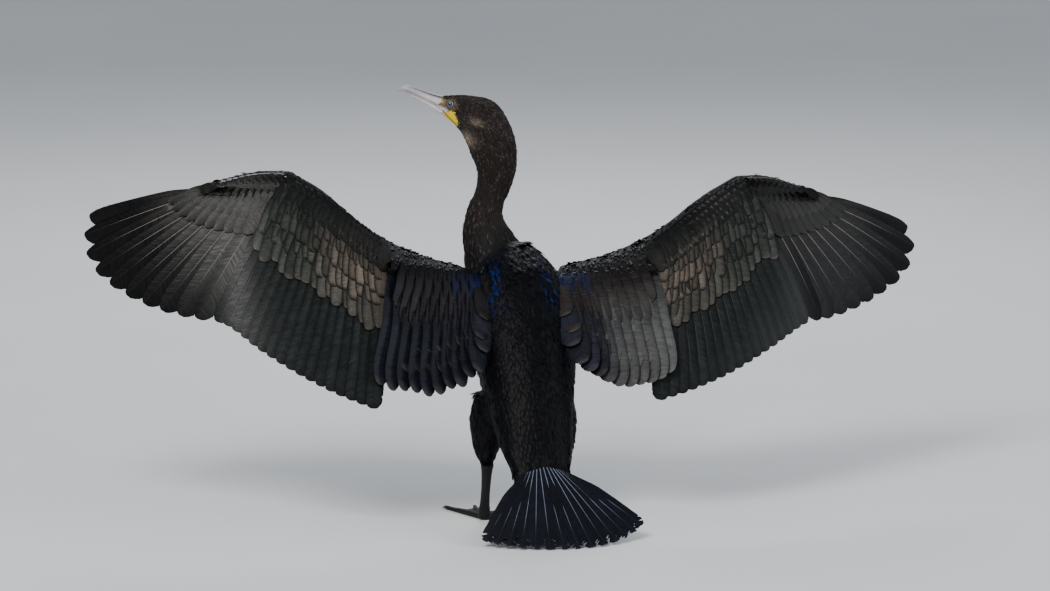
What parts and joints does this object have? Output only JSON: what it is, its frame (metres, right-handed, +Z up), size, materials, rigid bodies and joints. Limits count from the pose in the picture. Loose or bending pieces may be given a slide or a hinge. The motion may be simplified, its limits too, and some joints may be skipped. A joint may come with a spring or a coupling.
{
  "type": "great cormorant",
  "caption": "Life-size great cormorant standing on webbed feet with its wings spread to dry, its head turned to one side and its tail fanned on the ground.",
  "frame": {"origin": "below the middle of the whole bird's bounding box, at the level of the soles of its feet", "axes": "+X towards the bird's own right, along the span of its wings; +Y the way its body faces; +Z up"},
  "size_m": [1.2092, 0.3858, 0.5953],
  "materials": {
    "body_plumage": "glossy black plumage with a faint blue-green sheen",
    "head_plumage": "dark brown plumage with fine pale streaks",
    "wing_plumage": "bronze-grey plumage with dark edges",
    "flight_feathers": "black-brown stiff feathers with pale shafts",
    "bill": "satin horn with a dark ridge",
    "eye": "wet gloss",
    "foot_skin": "dark leathery skin",
    "claw": "dark horn"
  },
  "bodies": {
    "root": {"torso": "body_plumage", "tail": "flight_feathers", "head": "head_plumage", "neck_upper": "head_plumage", "neck_lower": "head_plumage", "bill_upper": "bill", "bill_lower": "bill", "eye_left": "eye", "eye_right": "eye", "wing_left_upper_arm": "body_plumage", "wing_left_forearm": "wing_plumage", "wing_left_hand": "flight_feathers", "thigh_left": "body_plumage", "shank_left": "foot_skin", "foot_left": "foot_skin", "claw_hind_left": "claw", "claw_inner_left": "claw", "claw_middle_left": "claw", "claw_outer_left": "claw", "wing_right_upper_arm": "body_plumage", "wing_right_forearm": "wing_plumage", "wing_right_hand": "flight_feathers", "thigh_right": "body_plumage", "shank_right": "foot_skin", "foot_right": "foot_skin", "claw_hind_right": "claw", "claw_inner_right": "claw", "claw_middle_right": "claw", "claw_outer_right": "claw"}
  },
  "joints": []
}
